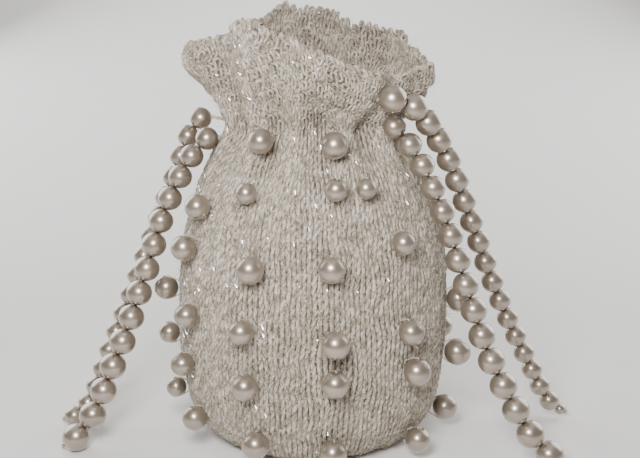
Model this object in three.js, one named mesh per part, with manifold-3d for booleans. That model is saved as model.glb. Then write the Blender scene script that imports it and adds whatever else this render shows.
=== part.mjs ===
// Knitted drawstring pouch with sewn pearls and two drawstrings of strung pearls.
// Millimetres, +Z up, front of the bag towards -Y, origin at the middle of the flat base.
// Angles round the bag are in degrees from the front, positive towards +X.
import * as THREE from "three";
import { mergeVertices } from "three/addons/utils/BufferGeometryUtils.js";
import Module from "manifold-3d";

// Driving dimensions
const WALL = 3; // double knit of thick yarn
const DEPTH_SHARE = 0.95; // the bag is a little flatter from front to back than it is wide
const AROUND = 48; // facets round the bag
const NECK_HEIGHT = 127;
const NECK_RADIUS = 34;
const GATHERS = 12; // folds that the drawstrings pull into the neck
const GATHER_CREST = -9; // angle of the fold at the middle of the front
const PLAIN_PEARL = 10; // diameter of the pearls that the photograph doesn't show
const PEARL_GAP = 0.35; // between a sewn pearl and the knit
const PEARL_SPREAD = 4; // degrees of the knit on either side that a pearl rests on
const BEAD_SIDES = 10;
const BEAD_RINGS = [45, 90, 135]; // degrees from a bead's upper pole
const THREAD = 1.6;
const THREAD_SIDES = 6;
const THREAD_STEPS = 20;
const THREAD_RING_RADIUS = 27.2; // of the hidden stretch inside the neck
const THREAD_REACH = 40; // degrees over which the hidden stretch climbs to its eyelets
const STUB_GAP = 0.4; // between a strand's thread and the hidden stretch
const EYELET = 4.4;
const EYELET_SIDES = 8;
const EYELET_ROD = 18; // long enough to pass right through the wall at its folds
const LEFT_RING_HEIGHT = 124.5; // of the hidden stretches inside the neck
const RIGHT_RING_HEIGHT = 130.5;
const SAME_POINT = 1e-3; // vertices closer than this are one

// The body's outer sections, from the edge of the flat base to the neck
const BODY_SECTIONS = [
  { height: 0, radius: 38, gather: 0 },
  { height: 2, radius: 43.5, gather: 0 },
  { height: 9, radius: 49.5, gather: 0 },
  { height: 23, radius: 53.8, gather: 0 },
  { height: 46, radius: 55.6, gather: 0 },
  { height: 71, radius: 54.5, gather: 0 },
  { height: 90, radius: 51.2, gather: 0.2 },
  { height: 101, radius: 47.6, gather: 0.7 },
  { height: 111, radius: 42.6, gather: 1.4 },
  { height: 120, radius: 37.2, gather: 2.1 },
  { height: NECK_HEIGHT, radius: NECK_RADIUS, gather: 2.5 },
];

// The ruffle's sections: how far up it each one is, how far it has flared, and what is left of the gathers
const RUFFLE_SECTIONS = [
  { rise: 0.2, flare: 0.22, gathered: 0.75 },
  { rise: 0.43, flare: 0.64, gathered: 0.4 },
  { rise: 0.67, flare: 0.96, gathered: 0.12 },
  { rise: 0.87, flare: 1, gathered: 0 },
  { rise: 1, flare: 0.88, gathered: 0 },
];

// The rim's folds, crests and valleys in turn, with the widest reach of the ruffle below the rim
const RIM_FOLDS = [
  { angle: -165, height: 176, radius: 46 },
  { angle: -142, height: 169, radius: 39 },
  { angle: -122, height: 163, radius: 47 },
  { angle: -107, height: 160, radius: 43 },
  { angle: -86, height: 160, radius: 51 },
  { angle: -56, height: 162, radius: 38 },
  { angle: -34, height: 168, radius: 45 },
  { angle: -17, height: 162, radius: 41 },
  { angle: 0, height: 158, radius: 47 },
  { angle: 20, height: 151, radius: 41 },
  { angle: 34, height: 149, radius: 43 },
  { angle: 50, height: 147, radius: 38 },
  { angle: 80, height: 151, radius: 48 },
  { angle: 106, height: 158, radius: 43 },
  { angle: 127, height: 164, radius: 47 },
  { angle: 150, height: 168, radius: 39 },
  { angle: 170, height: 173, radius: 46 },
  { angle: 183, height: 175, radius: 42 },
];

// Columns of sewn pearls: each pearl's angle, the height of its middle and its diameter
const PEARL_COLUMNS = [
  {
    name: "front_left",
    pearls: [
      { angle: -27, height: 124, size: 9.4 }, { angle: -28, height: 106, size: 7.8 },
      { angle: -22, height: 80, size: 10.2 }, { angle: -25, height: 57, size: 9.4 },
      { angle: -24, height: 36, size: 9.8 }, { angle: -22, height: 12, size: 10.4 },
    ],
  },
  {
    name: "front",
    pearls: [
      { angle: 11, height: 123, size: 10 }, { angle: 10, height: 108, size: 8.4 },
      { angle: 7, height: 81, size: 9.8 }, { angle: 8, height: 54, size: 10.4 },
      { angle: 8, height: 39, size: 10 }, { angle: 8, height: 10, size: 10.4 },
    ],
  },
  { name: "front_right", pearls: [{ angle: 23, height: 108, size: 7.6 }] },
  {
    name: "right_front",
    pearls: [
      { angle: 36, height: 88, size: 9 }, { angle: 37, height: 55, size: 9.8 },
      { angle: 40, height: 39, size: 10.4 }, { angle: 47, height: 8, size: 10 },
    ],
  },
  {
    name: "right",
    pearls: [
      { angle: 74, height: 59, size: 10 }, { angle: 73, height: 37, size: 10.8 },
      { angle: 80, height: 10, size: 10.4 },
    ],
  },
  { name: "right_back", pearls: plainColumn(110, [82, 36]) },
  { name: "back_right", pearls: plainColumn(141, [107, 57, 14]) },
  { name: "back", pearls: plainColumn(172, [82, 36]) },
  { name: "back_left", pearls: plainColumn(205, [107, 57, 14]) },
  { name: "left_back", pearls: plainColumn(238, [82, 36]) },
  {
    name: "left",
    pearls: [
      { angle: 273, height: 60, size: 10 }, { angle: 271, height: 40, size: 9 },
      { angle: 280, height: 19, size: 8.4 },
    ],
  },
  {
    name: "left_front",
    pearls: [
      { angle: 307, height: 99, size: 9.6 }, { angle: 303, height: 83, size: 9.8 },
      { angle: 308, height: 58, size: 9.4 }, { angle: 303, height: 37, size: 9.2 },
      { angle: 306, height: 15, size: 9.8 },
    ],
  },
];

// The drawstrings' four strands: eyelet, bead sizes at the top and at the end, the small bead at the tip,
// and the route from the first bead's middle to the floor
const STRANDS = [
  {
    name: "left_front",
    eyelet: { angle: -80, height: 122.5 },
    beads: { count: 14, top: 9.1, end: 11 },
    tip: 0,
    route: [
      [-41.6, -8.2, 122], [-56.5, -12.4, 98.3], [-66.2, -17.6, 69.2], [-77, -23.1, 38.7],
      [-93.6, -29, 5.8], [-104, -33, 5.8],
    ],
  },
  {
    name: "left_back",
    eyelet: { angle: -97, height: 128.3 },
    beads: { count: 17, top: 9, end: 8.3 },
    tip: 0,
    route: [
      [-45.7, 5.2, 128.8], [-57.6, 2.7, 103.9], [-70, 0.2, 72], [-82.9, -2.5, 39.2],
      [-99.5, -5, 4.8], [-110, -6, 4.8],
    ],
  },
  {
    name: "right_front",
    eyelet: { angle: 48, height: 127.5 },
    beads: { count: 15, top: 8.9, end: 11 },
    tip: 0,
    route: [
      [30.4, -28.4, 128.5], [40.9, -29.5, 114.3], [48.9, -31.5, 96.6], [58.5, -35.3, 67.3],
      [68.9, -39.8, 38.8], [90.2, -45, 5.8], [103, -48, 5.8],
    ],
  },
  {
    name: "right_back",
    eyelet: { angle: 38, height: 138 },
    beads: { count: 18, top: 10.2, end: 8.5 },
    tip: 4.6,
    route: [
      [29.4, -34, 139], [38, -29.3, 135.4], [50.8, -17, 118.4], [63.4, -8.5, 89.4],
      [74, -4.6, 62.3], [89.1, -0.7, 30.6], [105, 2, 4.9], [118, 3, 2.8],
    ],
  },
];

// A column of pearls one above another, for the sides that the photograph doesn't show
function plainColumn(angle, heights) {
  return heights.map((height) => ({ angle, height, size: PLAIN_PEARL }));
}

const KNIT = { color: 0xcfc6b6, roughness: 0.95, metalness: 0 };
const NACRE = { color: 0xd9cdbd, roughness: 0.22, metalness: 0 };
const NYLON = { color: 0xe4ddcf, roughness: 0.6, metalness: 0 };

const wasm = await Module();
wasm.setup();

const smooth = (t) => t * t * (3 - 2 * t);
const radians = THREE.MathUtils.degToRad;

// A point at a radius and height on the bag's slightly flattened rounds
function onBag(angle, radius, height) {
  const turn = radians(angle);
  return new THREE.Vector3(radius * Math.sin(turn), -radius * Math.cos(turn) * DEPTH_SHARE, height);
}

// The rim at an angle, eased from one fold to the next
function rimAt(angle) {
  const first = RIM_FOLDS[0].angle;
  const turned = first + THREE.MathUtils.euclideanModulo(angle - first, 360);
  const last = RIM_FOLDS.findLastIndex((fold) => fold.angle <= turned);
  const from = RIM_FOLDS[last];
  const to = RIM_FOLDS[(last + 1) % RIM_FOLDS.length];
  const span = THREE.MathUtils.euclideanModulo(to.angle - from.angle, 360);
  const share = smooth((turned - from.angle) / span);
  return {
    height: THREE.MathUtils.lerp(from.height, to.height, share),
    radius: THREE.MathUtils.lerp(from.radius, to.radius, share),
  };
}

// The outer face's radius and height at an angle, from the base's edge up to the rim
function meridian(angle) {
  const wave = Math.cos(radians(GATHERS * (angle - GATHER_CREST)));
  const neck = BODY_SECTIONS.at(-1);
  const rim = rimAt(angle);
  const body = BODY_SECTIONS.map(({ height, radius, gather }) => (
    new THREE.Vector2(radius + gather * wave, height)
  ));
  const ruffle = RUFFLE_SECTIONS.map(({ rise, flare, gathered }) => new THREE.Vector2(
    THREE.MathUtils.lerp(NECK_RADIUS, rim.radius, flare) + neck.gather * gathered * wave,
    THREE.MathUtils.lerp(NECK_HEIGHT, rim.height, rise),
  ));
  return [...body, ...ruffle];
}

// The same line moved inwards by the thickness of the knit, with every other section of the plain body
function innerMeridian(outer) {
  const neck = BODY_SECTIONS.length - 1;
  const moved = outer.map((point, i) => {
    const before = outer[Math.max(i - 1, 0)];
    const after = outer[Math.min(i + 1, outer.length - 1)];
    const along = after.clone().sub(before).normalize();
    return new THREE.Vector2(point.x - WALL * along.y, point.y + WALL * along.x);
  });
  return moved.filter((_, i) => i >= neck || (i > 1 && (neck - i) % 2 === 0));
}

// One closed section of the wall: out along the base, up the outside, down the inside, in to the axis
function wallSection(angle) {
  const outer = meridian(angle);
  const inner = innerMeridian(outer);
  const floor = new THREE.Vector2(BODY_SECTIONS[0].radius, WALL);
  return [new THREE.Vector2(0, 0), ...outer, ...inner.reverse(), floor, new THREE.Vector2(0, WALL)];
}

// A lathe whose section changes as it goes round
function drapedLathe(section, segments) {
  const points = section(0);
  const geometry = new THREE.LatheGeometry(points, segments);
  const position = geometry.getAttribute("position");
  for (let step = 0; step <= segments; step += 1) {
    const angle = (360 * step) / segments;
    section(angle % 360).forEach((point, j) => {
      const { x, y, z } = onBag(angle, point.x, point.y);
      position.setXYZ(step * points.length + j, x, y, z);
    });
  }
  return geometry;
}

function toSolid(geometry) {
  const bare = geometry.clone();
  bare.deleteAttribute("normal");
  bare.deleteAttribute("uv");
  const merged = mergeVertices(bare, SAME_POINT);
  return new wasm.Manifold(new wasm.Mesh({
    numProp: 3,
    vertProperties: new Float32Array(merged.getAttribute("position").array),
    triVerts: new Uint32Array(merged.getIndex().array),
  }));
}

function fromSolid(solid) {
  const { vertProperties, triVerts } = solid.getMesh();
  const geometry = new THREE.BufferGeometry();
  geometry.setAttribute("position", new THREE.BufferAttribute(vertProperties, 3));
  geometry.setIndex(new THREE.BufferAttribute(triVerts, 1));
  geometry.computeVertexNormals();
  return geometry;
}

// A short rod through the wall, along the radius at an eyelet
function eyeletRod({ angle, height }) {
  const geometry = new THREE.CylinderGeometry(EYELET / 2, EYELET / 2, EYELET_ROD, EYELET_SIDES);
  geometry.rotateZ(Math.PI / 2);
  geometry.rotateZ(radians(angle - 90));
  const { x, y, z } = onBag(angle, NECK_RADIUS, height);
  return geometry.translate(x, y, z);
}

function knitPouch() {
  let solid = toSolid(drapedLathe(wallSection, AROUND));
  for (const { eyelet } of STRANDS) {
    solid = solid.subtract(toSolid(eyeletRod(eyelet)));
  }
  return fromSolid(solid);
}

// The outer radius and its slope at a height on the body or the foot of the ruffle
function outerFace(angle, height) {
  const line = meridian(angle);
  const above = Math.max(line.findIndex((point) => point.y > height), 1);
  const low = line[above - 1];
  const high = line[above];
  const share = (height - low.y) / (high.y - low.y);
  return { radius: THREE.MathUtils.lerp(low.x, high.x, share), slope: (high.x - low.x) / (high.y - low.y) };
}

// A pearl rests on the highest knit under it, and stands off along the wall's own normal
function pearlCentre({ angle, height, size }) {
  const { slope } = outerFace(angle, height);
  const under = [angle - PEARL_SPREAD, angle, angle + PEARL_SPREAD];
  const radius = Math.max(...under.map((place) => outerFace(place, height).radius));
  const clearance = (size / 2 + PEARL_GAP) * Math.hypot(1, slope);
  return onBag(angle, radius + clearance / DEPTH_SHARE, height);
}

// A strand's rings in order: each one's radius, its place along the strand, and the middle of its bead
function strandRings({ beads, tip }, firstMiddle) {
  const rings = [{ radius: 0, along: 0, middle: 0 }, { radius: THREAD / 2, along: 0, middle: 0 }];
  const addBead = (start, diameter) => {
    const radius = diameter / 2;
    const middle = start + radius;
    rings.push({ radius: THREAD / 2, along: start, middle: start });
    for (const turn of BEAD_RINGS.map(radians)) {
      rings.push({ radius: radius * Math.sin(turn), along: middle - radius * Math.cos(turn), middle });
    }
    return start + diameter;
  };
  let start = firstMiddle - beads.top / 2;
  for (let i = 0; i < beads.count; i += 1) {
    start = addBead(start, THREE.MathUtils.lerp(beads.top, beads.end, i / (beads.count - 1)));
  }
  const last = tip > 0 ? addBead(start, tip) : start;
  rings.push({ radius: 0, along: last, middle: rings.at(-1).middle });
  return rings;
}

// The points that a strand follows: from the hidden stretch, out through the eyelet, and along the route
function strandPoints({ eyelet, route }) {
  const inner = onBag(eyelet.angle, THREAD_RING_RADIUS + THREAD / 2 + STUB_GAP, eyelet.height);
  const mouth = onBag(eyelet.angle, NECK_RADIUS, eyelet.height);
  return [inner, mouth, ...route.map((point) => new THREE.Vector3(...point))];
}

// A lathed string of beads laid along its route, each bead straight on its own stretch of it
function strand(spec) {
  const points = strandPoints(spec);
  const [inner, mouth, firstBead] = points;
  const rings = strandRings(spec, inner.distanceTo(mouth) + mouth.distanceTo(firstBead));
  const curve = new THREE.CatmullRomCurve3(points);
  const length = curve.getLength();
  const profile = rings.map(({ radius, along }) => new THREE.Vector2(radius, along));
  const geometry = new THREE.LatheGeometry(profile, BEAD_SIDES);
  const position = geometry.getAttribute("position");
  const reference = new THREE.Vector3(0, 1, 0);
  rings.forEach(({ radius, along, middle }, j) => {
    const tangent = curve.getTangentAt(middle / length);
    const centre = curve.getPointAt(middle / length).addScaledVector(tangent, along - middle);
    const side = reference.clone().cross(tangent).normalize();
    const across = tangent.clone().cross(side);
    for (let step = 0; step <= BEAD_SIDES; step += 1) {
      const turn = (2 * Math.PI * (step % BEAD_SIDES)) / BEAD_SIDES;
      const place = centre.clone();
      place.addScaledVector(side, radius * Math.cos(turn));
      place.addScaledVector(across, radius * Math.sin(turn));
      position.setXYZ(step * rings.length + j, place.x, place.y, place.z);
    }
  });
  return geometry;
}

// The hidden stretch of a drawstring, from one eyelet the long way round to its other eyelet
function neckThread(from, to, ringHeight) {
  const turn = THREE.MathUtils.euclideanModulo(to.angle - from.angle, 360);
  const points = [];
  for (let step = 0; step <= THREAD_STEPS; step += 1) {
    const gone = (turn * step) / THREAD_STEPS;
    const rise = (from.height - ringHeight) * (1 - smooth(Math.min(gone / THREAD_REACH, 1)));
    const climb = (to.height - ringHeight) * (1 - smooth(Math.min((turn - gone) / THREAD_REACH, 1)));
    points.push(onBag(from.angle + gone, THREAD_RING_RADIUS, ringHeight + rise + climb));
  }
  const section = new THREE.Shape();
  for (let side = 0; side < THREAD_SIDES; side += 1) {
    const angle = (2 * Math.PI * side) / THREAD_SIDES;
    section[side ? "lineTo" : "moveTo"]((THREAD / 2) * Math.cos(angle), (THREAD / 2) * Math.sin(angle));
  }
  section.closePath();
  const extrudePath = new THREE.CatmullRomCurve3(points);
  return new THREE.ExtrudeGeometry(section, { steps: THREAD_STEPS, extrudePath, bevelEnabled: false });
}

function named(name, geometry, finish) {
  const mesh = new THREE.Mesh(geometry, new THREE.MeshStandardMaterial(finish));
  mesh.name = name;
  return mesh;
}

const pouch = new THREE.Group();
pouch.add(named("knit_pouch", knitPouch(), KNIT));

for (const { name, pearls } of PEARL_COLUMNS) {
  pearls.forEach((place, row) => {
    const ball = new THREE.IcosahedronGeometry(place.size / 2, 1);
    const pearl = named(`pearl_${name}_${row + 1}`, ball, NACRE);
    pearl.position.copy(pearlCentre(place));
    pouch.add(pearl);
  });
}

for (const spec of STRANDS) {
  pouch.add(named(`strand_${spec.name}`, strand(spec), NACRE));
}

const eyeletOf = (name) => STRANDS.find((spec) => spec.name === name).eyelet;
const leftThread = neckThread(eyeletOf("left_front"), eyeletOf("left_back"), LEFT_RING_HEIGHT);
const rightThread = neckThread(eyeletOf("right_front"), eyeletOf("right_back"), RIGHT_RING_HEIGHT);
pouch.add(named("neck_thread_left", leftThread, NYLON));
pouch.add(named("neck_thread_right", rightThread, NYLON));

export default pouch;
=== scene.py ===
"""Knitted drawstring pouch with sewn pearls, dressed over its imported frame.

Sizes in the classes are in millimetres. Angles round the bag are in degrees from the front, and they
grow towards +X.
"""
import logging
from dataclasses import dataclass, field
from enum import Enum
from typing import NamedTuple

import bpy
import numpy as np
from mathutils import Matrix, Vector


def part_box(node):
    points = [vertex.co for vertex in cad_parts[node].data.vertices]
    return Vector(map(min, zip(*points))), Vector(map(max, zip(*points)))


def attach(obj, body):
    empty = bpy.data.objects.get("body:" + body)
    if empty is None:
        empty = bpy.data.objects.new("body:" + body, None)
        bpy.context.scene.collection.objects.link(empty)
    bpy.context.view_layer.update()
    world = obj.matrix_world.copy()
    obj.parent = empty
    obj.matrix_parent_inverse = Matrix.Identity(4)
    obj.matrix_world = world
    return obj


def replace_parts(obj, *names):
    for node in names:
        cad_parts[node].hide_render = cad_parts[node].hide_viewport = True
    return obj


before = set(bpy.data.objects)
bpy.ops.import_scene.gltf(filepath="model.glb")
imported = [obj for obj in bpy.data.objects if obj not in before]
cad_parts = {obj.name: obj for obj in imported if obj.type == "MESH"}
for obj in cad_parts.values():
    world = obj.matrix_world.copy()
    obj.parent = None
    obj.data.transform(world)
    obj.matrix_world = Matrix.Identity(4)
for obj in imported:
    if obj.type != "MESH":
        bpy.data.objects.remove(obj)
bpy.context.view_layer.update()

Array = np.ndarray
Colour = tuple[float, float, float, float]
Place = tuple[float, float, float]
Tree = bpy.types.NodeTree
Socket = bpy.types.NodeSocket
Surface = dict[str, dict]  # the settings and the links of a shader

MM = 0.001  # metres in a millimetre
SEED = 4217
BODY = "root"
PLY_MAP = "yarn_ply"  # turns of the ply and millimetres along the yarn
BAKE_MAP = "OFBake"  # the map that a texture of the yarn is laid out on
STRIPS = 3  # strips that a row of yarn is laid out in, so that the map is about square
THREAD_SIDES = 6  # points round a thread
FIBRE_SIDES = 3  # points round the metal thread and round a loose fibre
MIX_SHARE, MIX_FIRST, MIX_SECOND = 0, 6, 7  # the inputs of a mix of colours
MIX_RESULT = 2  # its output
WAVE_TURN = 2 * np.pi / 20  # the scale at which a wave texture has one wave in each unit
UP = np.array([0.0, 0.0, 1.0])
BACK = np.array([0.0, 1.0, 0.0])
ASIDE = np.array([0.0, 0.3, 1.0])  # a direction that no bare thread runs in
LOG = logging.getLogger("knitted_pouch")


class Slot(Enum):
    """The material slots."""

    KNIT = "knit"
    PEARL = "pearl"
    THREAD = "thread"


class Pattern(Enum):
    """How a band of the fabric is knitted."""

    PLAIN = "plain"
    MOSS = "moss"

    def kinds(self, rows: int, stitches: int) -> Array:
        """Charts the stitches.

        Args:
            rows: Rows in the band.
            stitches: Stitches in a row.

        Returns:
            By row and by stitch, 1 for a knit stitch and -1 for a purl one.
        """
        row, column = np.indices((rows, stitches))
        if self is Pattern.PLAIN:
            return np.ones(row.shape)
        return 1.0 - 2.0 * ((row + column) % 2)


def linear(code: str) -> Colour:
    """Turns an sRGB hex colour to linear.

    Args:
        code: Six hex digits after a #.

    Returns:
        Linear red, green and blue, and an alpha of one.
    """
    shares = [int(code[i:i + 2], 16) / 255 for i in (1, 3, 5)]
    red, green, blue = [c / 12.92 if c <= 0.04045 else ((c + 0.055) / 1.055) ** 2.4 for c in shares]
    return red, green, blue, 1.0


def unit(vectors: Array) -> Array:
    """Returns the vectors at a length of one."""
    return vectors / np.linalg.norm(vectors, axis=-1, keepdims=True)


def smooth(share: Array) -> Array:
    """Returns shares from 0 to 1 eased at both ends."""
    return share * share * (3 - 2 * share)


def gone_along(path: Array) -> Array:
    """Returns the length gone at each point of a path."""
    return np.concatenate([[0], np.linalg.norm(np.diff(path, axis=0), axis=-1).cumsum()])


def spokes(along: Array, hint: Array, turn: Array) -> Array:
    """Points away from a line, at angles round it.

    Args:
        along: The line's direction at each place.
        hint: A direction across it.
        turn: Radians round it.

    Returns:
        Directions at right angles to the line.
    """
    across = unit(np.cross(along, hint))
    up = np.cross(across, along)
    return np.cos(turn)[..., None] * across + np.sin(turn)[..., None] * up


def add_node(
    tree: Tree,
    kind: str,
    settings: dict[str | int, object] | None = None,
    links: dict[str | int, Socket] | None = None,
) -> bpy.types.Node:
    """Adds a shader node with its settings and links.

    Args:
        tree: The material's node tree.
        kind: Blender's name for the kind of node.
        settings: Values by property name, or by input name or number.
        links: Output sockets by the input that each one feeds.

    Returns:
        The new node.
    """
    node = tree.nodes.new(kind)
    for name, value in (settings or {}).items():
        if isinstance(name, str) and hasattr(node, name):
            setattr(node, name, value)
        else:
            node.inputs[name].default_value = value
    for name, output in (links or {}).items():
        tree.links.new(output, node.inputs[name])
    return node


@dataclass(frozen=True)
class Finish:
    """A real material and how its surface was made."""

    name: str
    slot: Slot | None

    def surface(self, tree: Tree) -> Surface:
        """Makes the nodes of the finish.

        Args:
            tree: The material's node tree.

        Returns:
            The settings and the links of the Principled shader.
        """
        raise NotImplementedError

    def material(self) -> bpy.types.Material:
        """Makes the material, once.

        Returns:
            The material of this finish.
        """
        found = bpy.data.materials.get(self.name)
        if found:
            return found
        made = bpy.data.materials.new(self.name)
        made.use_nodes = True
        tree = made.node_tree
        tree.nodes.clear()
        shader = add_node(tree, "ShaderNodeBsdfPrincipled", **self.surface(tree))
        add_node(tree, "ShaderNodeOutputMaterial", links={"Surface": shader.outputs["BSDF"]})
        return made


class Mottle(NamedTuple):
    """The sockets of a mottled surface: its place, how light each patch is, and its colour."""

    place: Socket
    lightness: Socket
    colour: Socket


@dataclass(frozen=True)
class MottledFinish(Finish):
    """A finish whose colour drifts in patches between a light tone and a shade."""

    light: str
    shade: str
    patch_mm: float
    detail: float  # finer patches within each one
    ragged: float = 0.5  # how strong those are
    contrast: tuple[float, float] = (0.0, 1.0)  # where the noise gives the shade, and the light tone

    def mottle(self, tree: Tree) -> Mottle:
        """Makes the patches and colours them.

        Args:
            tree: The material's node tree.

        Returns:
            The sockets that the rest of the finish starts from.
        """
        darkest, lightest = self.contrast
        place = add_node(tree, "ShaderNodeTexCoord").outputs["Object"]
        noise = add_node(
            tree, "ShaderNodeTexNoise",
            {"Scale": 1 / (self.patch_mm * MM), "Detail": self.detail, "Roughness": self.ragged},
            {"Vector": place})
        patches = add_node(
            tree, "ShaderNodeMapRange", {"From Min": darkest, "From Max": lightest},
            {"Value": noise.outputs["Fac"]})
        tone = add_node(
            tree, "ShaderNodeMix",
            {"data_type": "RGBA", MIX_FIRST: linear(self.shade), MIX_SECOND: linear(self.light)},
            {MIX_SHARE: patches.outputs["Result"]})
        return Mottle(place, patches.outputs["Result"], tone.outputs[MIX_RESULT])


@dataclass(frozen=True)
class SpunYarn(MottledFinish):
    """Brushed acrylic yarn, spun and plied: soft and dull, with painted shade in the grooves between its
    plies.
    """

    light: str = "#d3c8b8"
    shade: str = "#8d806e"
    patch_mm: float = 3.2
    detail: float = 5.0
    ragged: float = 0.75
    contrast: tuple[float, float] = (0.4, 0.6)
    # Painted shade in the grooves between the plies, and how far it reaches.
    groove_shade: str = "#6b5f4f"
    groove_shade_share: float = 0.75  # of the painted shade's colour where the grooves between the plies are deepest
    groove_shade_edge: float = 0.45  # the share of a ply's height at which the painted shade of the grooves ends
    ply_depth_mm: float = 0.22
    # A painted highlight on the high points of the fine fibres, and where it sets in.
    fibre_highlight: str = "#ece5d9"
    fibre_highlight_share: float = 0.7  # of the painted highlight's colour at the high points of the fibres
    fibre_highlight_range: tuple[float, float] = (0.54, 0.72)  # the fibres' heights that it sets in over
    fibre_mm: float = 0.5  # coarser than a real fibre, so that it shows
    sheen: str = "#fff6e8"

    def surface(self, tree: Tree) -> Surface:
        """Mottles the cream, grooves it along the twist of the plies and roughens it with fine fibres.

        The grooves are darkened with painted shade, and the high points of the fibres are lightened with a
        painted highlight.

        Args:
            tree: The material's node tree.

        Returns:
            The settings and the links of the Principled shader.
        """
        mottle = self.mottle(tree)
        run = add_node(tree, "ShaderNodeUVMap", {"uv_map": PLY_MAP}).outputs["UV"]
        twist = add_node(
            tree, "ShaderNodeTexWave", {"Scale": WAVE_TURN, "Distortion": 0.0},
            {"Vector": run}).outputs["Fac"]
        # Painted shade: the colour darkens towards the bottoms of the grooves between the plies.
        deep = add_node(
            tree, "ShaderNodeMapRange",
            {"From Max": self.groove_shade_edge, "To Min": self.groove_shade_share, "To Max": 0.0}, {"Value": twist})
        plies = add_node(
            tree, "ShaderNodeMix", {"data_type": "RGBA", MIX_SECOND: linear(self.groove_shade)},
            {MIX_SHARE: deep.outputs["Result"], MIX_FIRST: mottle.colour})
        fibres = add_node(
            tree, "ShaderNodeTexNoise", {"Scale": 1 / (self.fibre_mm * MM), "Detail": 2.0},
            {"Vector": mottle.place}).outputs["Fac"]
        # Painted highlight: the high points of the fine fibres are lightened, as if they caught the light.
        low, high = self.fibre_highlight_range
        fibre_highlight_mask = add_node(
            tree, "ShaderNodeMapRange", {"From Min": low, "From Max": high, "To Max": self.fibre_highlight_share},
            {"Value": fibres})
        colour = add_node(
            tree, "ShaderNodeMix", {"data_type": "RGBA", MIX_SECOND: linear(self.fibre_highlight)},
            {MIX_SHARE: fibre_highlight_mask.outputs["Result"], MIX_FIRST: plies.outputs[MIX_RESULT]})
        fluff = add_node(
            tree, "ShaderNodeBump", {"Strength": 0.8, "Distance": self.fibre_mm * MM}, {"Height": fibres})
        plied = add_node(
            tree, "ShaderNodeBump", {"Strength": 0.7, "Distance": self.ply_depth_mm * MM},
            {"Height": twist, "Normal": fluff.outputs["Normal"]})
        return {
            "settings": {
                "Roughness": 0.9, "IOR": 1.49, "Specular IOR Level": 0.3,
                "Sheen Weight": 0.25, "Sheen Roughness": 0.5, "Sheen Tint": linear(self.sheen),
            },
            "links": {"Base Color": colour.outputs[MIX_RESULT], "Normal": plied.outputs["Normal"]},
        }


@dataclass(frozen=True)
class PaintedShadeCore(MottledFinish):
    """The matted fibres between the loops: the same yarn, coloured far darker as painted shade, dull like
    wadding.
    """

    # Both tones are painted shade: far darker than the yarn, for where the core shows between the loops.
    light: str = "#7a6f62"
    shade: str = "#5a5147"
    patch_mm: float = 0.8
    detail: float = 4.0

    def surface(self, tree: Tree) -> Surface:
        """Makes the fibres dull and uneven.

        Args:
            tree: The material's node tree.

        Returns:
            The settings and the links of the Principled shader.
        """
        mottle = self.mottle(tree)
        matted = add_node(
            tree, "ShaderNodeBump", {"Strength": 0.6, "Distance": self.patch_mm * MM},
            {"Height": mottle.lightness})
        return {
            "settings": {"Roughness": 0.95, "IOR": 1.49, "Specular IOR Level": 0.2},
            "links": {"Base Color": mottle.colour, "Normal": matted.outputs["Normal"]},
        }


@dataclass(frozen=True)
class SlitMetalFilm(MottledFinish):
    """Metallised polyester film, slit to a thread: flat mirrors that flash, from cool to warm along it."""

    light: str = "#cabfae"
    shade: str = "#b9c5d0"
    patch_mm: float = 2.5
    detail: float = 1.0

    def surface(self, tree: Tree) -> Surface:
        """Makes bright metal with the drifting tint."""
        return {
            "settings": {"Roughness": 0.14, "Metallic": 1.0},
            "links": {"Base Color": self.mottle(tree).colour},
        }


@dataclass(frozen=True)
class PearlLacquer(MottledFinish):
    """Moulded ABS beads dipped in pearl lacquer: a satin lustre under a clear gloss, a little clouded."""

    light: str = "#b5a797"
    shade: str = "#8e8072"
    patch_mm: float = 5.0
    detail: float = 3.0
    satin: tuple[float, float] = (0.32, 0.4)  # how rough the darkest and the lightest clouds are
    skin_mm: float = 0.9
    skin_depth_mm: float = 0.1

    def surface(self, tree: Tree) -> Surface:
        """Makes warm nacre, with clouds in its colour and gloss and the slight ripple of the dip.

        Args:
            tree: The material's node tree.

        Returns:
            The settings and the links of the Principled shader.
        """
        mottle = self.mottle(tree)
        glossiest, dullest = self.satin
        satin = add_node(
            tree, "ShaderNodeMapRange", {"To Min": glossiest, "To Max": dullest},
            {"Value": mottle.lightness})
        ripple = add_node(
            tree, "ShaderNodeTexNoise", {"Scale": 1 / (self.skin_mm * MM), "Detail": 1.0},
            {"Vector": mottle.place})
        skin = add_node(
            tree, "ShaderNodeBump", {"Strength": 0.05, "Distance": self.skin_depth_mm * MM},
            {"Height": ripple.outputs["Fac"]})
        return {
            "settings": {
                "Metallic": 0.78, "IOR": 1.52, "Coat Weight": 1.0, "Coat Roughness": 0.08, "Coat IOR": 1.8,
            },
            "links": {
                "Base Color": mottle.colour, "Roughness": satin.outputs["Result"],
                "Normal": skin.outputs["Normal"],
            },
        }


@dataclass(frozen=True)
class TwistedNylon(MottledFinish):
    """Bonded nylon beading thread, twisted: smooth and slightly waxy, with a fine mottle from the twist."""

    light: str = "#d2c7b7"
    shade: str = "#aea290"
    patch_mm: float = 1.4
    detail: float = 2.0

    def surface(self, tree: Tree) -> Surface:
        """Makes pale waxed thread."""
        return {
            "settings": {"Roughness": 0.45, "IOR": 1.53},
            "links": {"Base Color": self.mottle(tree).colour},
        }


@dataclass(frozen=True)
class StudioPaper(Finish):
    """Pale seamless paper, rolled: matt and even."""

    tone: str = "#eeedeb"

    def surface(self, tree: Tree) -> Surface:
        """Makes plain matt paper, which needs no further nodes."""
        return {
            "settings": {"Base Color": linear(self.tone), "Roughness": 0.9, "Specular IOR Level": 0.2},
            "links": {},
        }


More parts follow.
